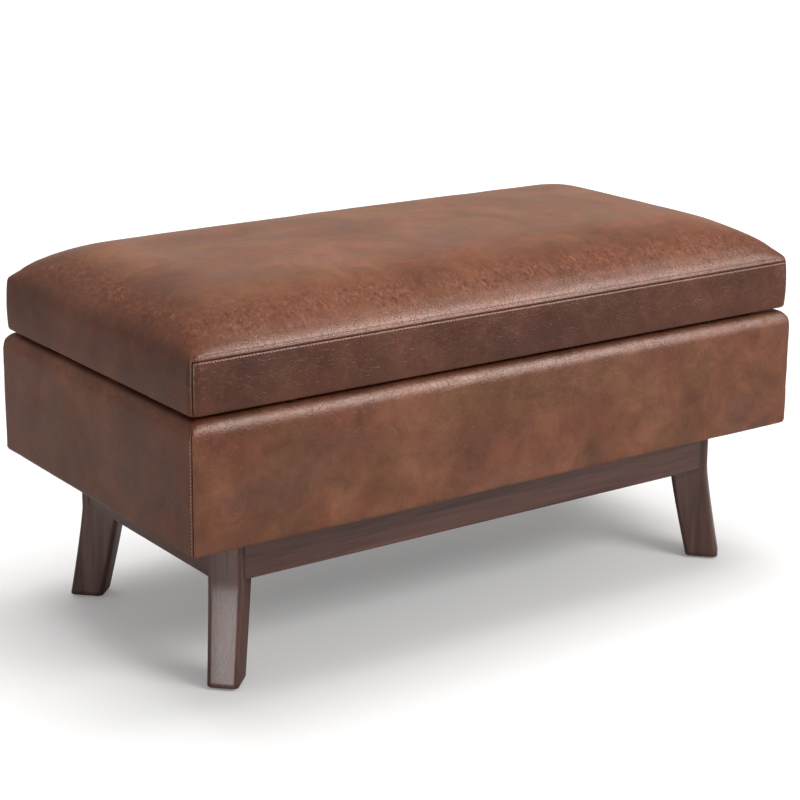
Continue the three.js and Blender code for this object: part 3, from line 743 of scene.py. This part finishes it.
def lid_top(simulation):
    """One panel over the top and both ends, from the leather's cut edge under one end to the other."""
    path = edge_path()
    depth = stations(EDGE_Y, SEAM_ROLL) / EDGE_Y
    rise = [(EDGE_X - inwards, inwards, z) for inwards, z in path]
    over = [(x, 0, None) for x in stations(EDGE_X, END_ROLL)[1:-1][::-1]]
    rows = [*rise, *over, *[(-x, inwards, z) for x, inwards, z in reversed(rise)]]
    grid = np.zeros((len(rows), len(depth), 3))
    for row, (at, inwards, z) in enumerate(rows):
        half_x, half_y = EDGE_X - inwards, EDGE_Y - inwards
        radius = max(LID_CORNER - inwards, 0.5 * MM)
        flat_x = np.full(len(depth), at)
        flat_y = depth * half_y
        height = eased_height(flat_x, flat_y) if z is None else np.full(len(depth), z)
        x, y = rounded_plan(flat_x, flat_y, half_x, half_y, radius)
        grid[row] = np.stack([x, y, height], axis=1)
    inside = clamped((EDGE_Y * (1 - np.abs(depth)) - 3 * MM) / (22 * MM))
    for junction in (len(rise) - 1, len(rows) - len(rise)):
        grid = eased_shoulder(grid, junction, inside * inside * (3 - 2 * inside))
    normals = grid_normals(grid)
    x, y, height = grid[:, :, 0], grid[:, :, 1], grid[:, :, 2]
    from_seam = np.broadcast_to(EDGE_Y * (1 - np.abs(depth)), y.shape)
    from_end = EDGE_X - np.abs(x)
    on_wall = height < SEAM_Z + 1 * MM
    seam = -SEAM_DEPTH * bell(from_seam, np.where(on_wall, SEAM_WIDTH, SEAM_WIDTH / 2))
    groove = bell(from_seam - SEAM_ROWS[STITCH_ROW], 0.4 * MM)
    lip = bell(from_seam - 1 * MM, 0.5 * MM)
    seam = seam + (LIP_HEIGHT * lip - GROOVE_DEPTH * groove) * ~on_wall
    fade = clamped(from_seam / (25 * MM))
    plump = PLUMP * np.tanh(from_seam / (16 * MM)) * np.tanh(np.maximum(from_end, 0) / (16 * MM))
    moved = limited(swelling(grid, normals, simulation), SWELL_MOST)
    swell = plump + moved * clamped(from_seam / (35 * MM))
    waves = 0.7 * MM * smooth_noise(grid, 6.0, 51) + 0.3 * MM * smooth_noise(grid, 28.0, 52)
    roll = clamped((LID_TOP - height) / (30 * MM)) * clamped((height - SEAM_Z + 20 * MM) / (30 * MM))
    crackle = 0.22 * MM * roll * smooth_noise(grid, 110.0, 53)
    corner = np.hypot(from_seam, from_end)
    angle = np.arctan2(from_end, np.maximum(from_seam, 1e-9))
    folds = 0.12 * MM * bell(corner - 26 * MM, 15 * MM) * np.sin(angle * 13) * fade
    ticks = 0.22 * MM * np.exp(-from_seam / (14 * MM)) * smooth_noise(grid * (1, 0.4, 0.4), 130.0, 54)
    shape = edge_puff(height) * on_wall + seam + swell + waves * fade + crackle + folds + ticks
    shape = np.where(height > LID_LOW + 0.5 * MM, shape, 0)
    grid = grid + normals * shape[:, :, None]
    edge = np.minimum(from_seam / WEAR_FROM_SEAM, np.maximum(from_end, 0) / WEAR_FROM_END)
    wear = 0.95 * bell(edge - 0.5, 0.36) * np.where(on_wall, 0.3, 1.0) + 0.08
    # Painted shade: the tone darkens the upright end walls and the foot above the seam, the rolls over the
    # ends, and a band on the top's rolls.
    tone = 0.1 + 0.3 / (1 + np.exp((height - SEAM_Z - 8 * MM) / (4 * MM)))
    tone = tone + 0.46 * bell(from_end - 22 * MM, 30 * MM)
    tone = np.minimum(tone + 0.2 * bell(edge - 0.65, 0.4) * ~on_wall, 0.72)
    leather_piece("lid_cushion_cover", grid, wear, tone, "lid", ["lid_top_cover", "lid_foam"])
    over_rows = slice(len(rise) + 1, len(rows) - len(rise) - 1)
    for side, column in (("front", STITCH_ROW), ("back", -1 - STITCH_ROW)):
        stitches(f"lid_{side}_stitching_high", grid[over_rows, column], normals[over_rows, column], "lid")


# ---------- the black cloths ----------
def cloth_piece(name, grid, body, replaced):
    made = grid_piece(name, grid, "cloth", body, CLOTH)
    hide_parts(replaced)


def flat_grid(half_x, half_y, z, facing):
    """A level grid seen from above where facing is 1, or from below where it is -1."""
    along = spaced(-half_x, half_x, 2 * STEP)
    across = spaced(-half_y, half_y, 2 * STEP)[::-facing]
    x, y = np.meshgrid(along, across, indexing="xy")
    return np.stack([x, y, np.full(x.shape, z)], axis=2)


def stapled_cloth(name, box, body, replaced, sag, seed):
    """A cloth stapled flat to an underside, sagging a little between its staples."""
    half_x, half_y = box[1].x, box[1].y
    grid = flat_grid(half_x, half_y, box[0].z + 0.2 * MM, -1)
    from_edge = np.minimum(half_x - np.abs(grid[:, :, 0]), half_y - np.abs(grid[:, :, 1]))
    free = clamped((from_edge - 60 * MM) / (60 * MM))
    grid[:, :, 2] -= sag * free * free * (3 - 2 * free)
    ripple = 0.25 * MM * smooth_noise(grid, 40.0, seed) * clamped(from_edge / (20 * MM))
    grid[:, :, 2] += np.abs(ripple) + 0.4 * MM * free * smooth_noise(grid, 9.0, seed + 1)
    cloth_piece(name, grid, body, replaced)
    x, y = half_x - STAPLE_INSET, half_y - STAPLE_INSET
    border = [(-x, -y), (x, -y), (x, y), (-x, y), (-x, -y)]
    path = np.array([(px, py, box[0].z) for px, py in border])
    down = np.tile([0.0, 0.0, -1.0], (len(path), 1))
    stitches(f"{name}_staples", path, down, body, STAPLE, "steel")


def box_lining():
    """The cloth inside the box: a floor, and one band round the walls with a hem along its top."""
    high = LINING_BOX[1].z
    floor_z = LINING_BOX[0].z + CLOTH
    inside_x, inside_y = LINING_BOX[1].x - CLOTH, LINING_BOX[1].y - CLOTH
    grid = flat_grid(inside_x, inside_y, floor_z, 1)
    grid[:, :, 2] += 0.9 * MM * np.abs(smooth_noise(grid, 14.0, 71))
    cloth_piece("storage_lining_floor", grid, "base", "lining")
    radius = 9 * MM
    loop = []
    for quarter, (sx, sy) in enumerate([(-1, -1), (1, -1), (1, 1), (-1, 1)]):
        angles = np.radians(np.linspace(180, 270, 6) + 90 * quarter)
        centre = (sx * (inside_x - radius), sy * (inside_y - radius))
        loop += [(centre[0] + radius * math.cos(a), centre[1] + radius * math.sin(a)) for a in angles]
    loop.append(loop[0])
    line = resampled(np.array(loop), 2 * STEP)
    heights = spaced(high, floor_z, STEP)
    grid = np.zeros((len(heights), len(line), 3))
    grid[:, :, :2] = line[None]
    grid[:, :, 2] = heights[:, None]
    normals = grid_normals(grid)
    down = (high - grid[:, :, 2]) / (high - floor_z)
    hem = 0.7 * MM / (1 + np.exp((high - HEM - grid[:, :, 2]) / (0.8 * MM)))
    stretched = grid * (1, 1, 0.25)
    waves = 1.2 * MM * np.abs(smooth_noise(stretched, 16.0, 73))
    waves = waves * np.sin(math.pi * clamped(down)) ** 0.5
    grid = grid + normals * (hem + waves)[:, :, None]
    cloth_piece("storage_lining_walls", grid, "base", "lining")


def resampled(path, step):
    """The same path with evenly spaced points."""
    reach = np.concatenate([[0], np.cumsum(np.linalg.norm(np.diff(path, axis=0), axis=1))])
    places = spaced(0, reach[-1], step)
    return np.stack([np.interp(places, reach, path[:, k]) for k in range(path.shape[1])], axis=1)


def make_cloths():
    box_lining()
    stapled_cloth("dust_cover_cloth", DUST_BOX, "base", "dust_cover", 2 * MM, 81)
    stapled_cloth("lid_lining_cloth", LID_LINING_BOX, "lid", "lid_lining", 0, 85)


# ---------- the wooden base ----------
def rounded_section(deep, wide, radius, steps=6):
    points = []
    for quarter, (sx, sy) in enumerate([(1, 1), (-1, 1), (-1, -1), (1, -1)]):
        for k in range(steps + 1):
            angle = (quarter + k / steps) * math.pi / 2
            x = sx * (deep / 2 - radius) + radius * math.cos(angle)
            y = sy * (wide / 2 - radius) + radius * math.sin(angle)
            points.append((x, y))
    return points


def make_leg(corner, side_x, side_y):
    """A leg lofted up its own curve, with its foot eased."""
    ease = 1.2 * MM
    heights = [FOOT_LOW, FOOT_LOW + 0.4 * MM, FOOT_LOW + ease]
    heights += list(spaced(FOOT_LOW + 6 * MM, BEND_Z, 6 * MM))
    heights += list(spaced(BEND_Z + 6 * MM, RAIL_HIGH, 9 * MM))
    points = []
    turn = math.atan2(side_y, side_x)
    middle = Vector((side_x * (RAIL_X - LEG_SETBACK), side_y * (RAIL_Y - LEG_SETBACK), 0))
    for z in heights:
        down = min(max((BEND_Z - z) / (BEND_Z - FOOT_LOW), 0), 1)
        shrink = 2 * ease * max(0, 1 - (z - FOOT_LOW) / ease) ** 2
        deep = LEG_TOP[0] + (LEG_FOOT[0] - LEG_TOP[0]) * down - shrink
        wide = LEG_TOP[1] + (LEG_FOOT[1] - LEG_TOP[1]) * down - shrink
        out = LEG_SPLAY * down**LEG_CURVE
        for x, y in rounded_section(deep, wide, LEG_RADIUS):
            flat = Matrix.Rotation(turn, 3, "Z") @ Vector((x + out, y, 0))
            points.append(middle + flat + Vector((0, 0, z)))
    faces = loft_faces(len(heights), len(points) // len(heights))
    leg = piece(f"walnut_leg_{corner}", points, faces, "walnut_z", "base")
    leg.data.set_sharp_from_angle(angle=SHARP_ANGLE)
    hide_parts(f"leg_{corner}")


def make_rail(side, half_outer, turn, centre, finish):
    """A rail with eased long edges, cut at 45 degrees against the legs."""
    radius = RAIL_ROUND
    low = arc((radius, RAIL_LOW + radius), radius, -90, -180, 6)
    high = arc((radius, RAIL_HIGH - radius), radius, 180, 90, 6)
    inner_low = arc((RAIL_THICKNESS - radius, RAIL_LOW + radius), radius, 0, -90, 6)
    section = [*low, *high, (RAIL_THICKNESS, RAIL_HIGH), *inner_low]
    stretch = np.linspace(-1, 1, 40)
    points = []
    spin = Matrix.Rotation(turn, 3, "Z")
    for s in stretch:
        for inwards, z in section:
            points.append(spin @ Vector((s * (half_outer - inwards), inwards, z)) + Vector((*centre, 0)))
    faces = loft_faces(len(stretch), len(section))
    rail = piece(f"walnut_rail_{side}", points, faces, finish, "base")
    rail.data.set_sharp_from_angle(angle=SHARP_ANGLE)
    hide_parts(f"rail_{side}")


def make_base():
    for corner, side_x, side_y in (
        ("front_left", -1, -1),
        ("front_right", 1, -1),
        ("back_left", -1, 1),
        ("back_right", 1, 1),
    ):
        make_leg(corner, side_x, side_y)
    half_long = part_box("rail_front")[1].x
    half_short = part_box("rail_right")[1].y
    make_rail("front", half_long, 0, (0, -RAIL_Y), "walnut_x")
    make_rail("back", half_long, math.pi, (0, RAIL_Y), "walnut_x")
    make_rail("right", half_short, math.pi / 2, (RAIL_X, 0), "walnut_y")
    make_rail("left", half_short, -math.pi / 2, (-RAIL_X, 0), "walnut_y")


# ---------- CAD nodes that stay ----------
NODE_FINISHES = {
    "board": "plywood",
    "brace": "plywood",
    "lid_board": "plywood",
    "glide": "nylon",
    "bumper": "rubber",
    "leg_bolt": "steel",
    "hinge": "steel",
    "screw": "steel",
}


def dress_nodes():
    """Gives every CAD node that still shows a finish of its own, by how its name starts."""
    for name, node in NODES.items():
        for start, finish in NODE_FINISHES.items():
            if name.startswith(start):
                node.data.materials.clear()
                node.data.materials.append(MATERIALS[finish])


# ---------- stage ----------
CAMERA_AT = (-1.443, -2.016, 0.965)
CAMERA_YAW = 0.6186
CAMERA_PITCH = 0.2436
CAMERA_ROLL = 0.0074
CAMERA_LENS = 94.1
CAMERA_SHIFT = (-0.0015, -0.12)
FLOOR_LIFT = 0.17  # lightens the shadow on the floor, as on a cut-out picture
FLOOR_GLOW = (1.1, 2.8)  # the floor brightens towards the horizon between these distances, in metres


def make_camera():
    camera = bpy.data.objects.new("camera", bpy.data.cameras.new("camera"))
    bpy.context.scene.collection.objects.link(camera)
    level = math.cos(CAMERA_PITCH)
    ahead = Vector((math.sin(CAMERA_YAW) * level, math.cos(CAMERA_YAW) * level, -math.sin(CAMERA_PITCH)))
    camera.location = CAMERA_AT
    camera.rotation_mode = "QUATERNION"
    camera.rotation_quaternion = ahead.to_track_quat("-Z", "Y") @ Quaternion((0, 0, 1), CAMERA_ROLL)
    camera.data.sensor_width = 36
    camera.data.lens = CAMERA_LENS
    camera.data.shift_x, camera.data.shift_y = CAMERA_SHIFT
    bpy.context.scene.camera = camera


def make_floor():
    """A pale floor that brightens into the white surround, and looks duller in reflections."""
    graph = Graph("pale_floor")
    tone = graph.noise(2.0, 2.0)
    colour = graph.ramp(tone, [(0.3, (0.83, 0.825, 0.82)), (0.7, (0.85, 0.845, 0.84))])
    mirrored = graph.add("ShaderNodeLightPath").outputs["Is Glossy Ray"]
    graph.set(Base_Color=graph.mix(mirrored, colour, (0.42, 0.41, 0.40)), Roughness=0.6)
    graph.set(Specular_IOR_Level=0.2, Emission_Color=(1, 1, 1, 1))
    reach = graph.add("ShaderNodeVectorMath", {0: graph.coords}, operation="LENGTH").outputs["Value"]
    glow = graph.spread(reach, *FLOOR_GLOW, FLOOR_LIFT, 0.75)
    seen = graph.add("ShaderNodeLightPath").outputs["Is Camera Ray"]
    graph.set(Emission_Strength=graph.math("MULTIPLY", glow, seen))
    size = 30.0
    mesh = bpy.data.meshes.new("floor")
    corners = [(-size, -size, 0), (size, -size, 0), (size, size, 0), (-size, size, 0)]
    mesh.from_pydata(corners, [], [(0, 1, 2, 3)])
    floor = bpy.data.objects.new("floor", mesh)
    bpy.context.scene.collection.objects.link(floor)
    mesh.materials.append(graph.material)


def make_light(name, at, look_at, size, watts, diffuse=True, glossy=True, roll=0, colour=(1, 1, 1)):
    light = bpy.data.lights.new(name, "AREA")
    light.shape = "RECTANGLE"
    light.size, light.size_y = size
    light.energy = watts
    light.color = colour
    holder = bpy.data.objects.new(name, light)
    holder.visible_diffuse = diffuse
    holder.visible_glossy = glossy
    bpy.context.scene.collection.objects.link(holder)
    holder.location = at
    holder.rotation_mode = "QUATERNION"
    aim = (Vector(look_at) - Vector(at)).to_track_quat("-Z", "Y")
    holder.rotation_quaternion = aim @ Quaternion((0, 0, 1), roll)


def make_lights():
    """A white surround, dimmer as a light than it looks, and five area lights. Three only show as shine."""
    world = bpy.data.worlds.new("studio")
    world.use_nodes = True
    nodes, links = world.node_tree.nodes, world.node_tree.links
    path = nodes.new("ShaderNodeLightPath")
    strength = nodes.new("ShaderNodeMapRange")
    strength.inputs["To Min"].default_value = 0.4
    strength.inputs["To Max"].default_value = 1.0
    links.new(path.outputs["Is Camera Ray"], strength.inputs["Value"])
    links.new(strength.outputs["Result"], nodes["Background"].inputs["Strength"])
    nodes["Background"].inputs["Color"].default_value = (1, 1, 1, 1)
    bpy.context.scene.world = world
    bpy.context.scene.view_settings.view_transform = "Standard"
    make_light("overhead", (0.2, 0.3, 2.7), (0, 0, 0.3), (2.6, 1.8), 70, glossy=False)
    make_light("key", (0.9, -2.3, 2.0), (0, 0, 0.35), (1.4, 1.0), 39)
    make_light("shine", (1.45, -1.85, 1.6), (0, -0.2, 0.38), (1.2, 1.8), 98, diffuse=False, roll=-0.5)
    warm = (1, 0.75, 0.45)
    make_light("back_shine", (1.95, 2.8, 1.3), (0, 0, 0.44), (4.0, 2.0), 6, diffuse=False, colour=warm)
    make_light("leg_shine", (-2.4, -1.6, 0.3), (-0.35, -0.17, 0.07), (0.9, 0.9), 60, diffuse=False)


MATERIALS = {
    "leather": leather_material(),
    "thread": thread_material(),
    "walnut_x": walnut_material("walnut_along_x", (6.0, 130.0, 130.0)),
    "walnut_y": walnut_material("walnut_along_y", (130.0, 6.0, 130.0)),
    "walnut_z": walnut_material("walnut_upright", (130.0, 130.0, 6.0)),
    "plywood": plywood_material(),
    "cloth": cloth_material(),
    "steel": steel_material(),
    "nylon": moulded_material("moulded_nylon", (0.02, 0.02, 0.02), (0.035, 0.035, 0.035), 0.5),
    "rubber": moulded_material("dark_rubber", (0.011, 0.005, 0.003), (0.018, 0.009, 0.006), 0.75),
}

make_camera()
make_floor()
make_lights()
dress_nodes()
make_base()
make_box_covers()
SIMULATION = swollen_foam()
lid_top(SIMULATION)
lid_strip("front", SIMULATION)
lid_strip("back", SIMULATION)
make_cloths()
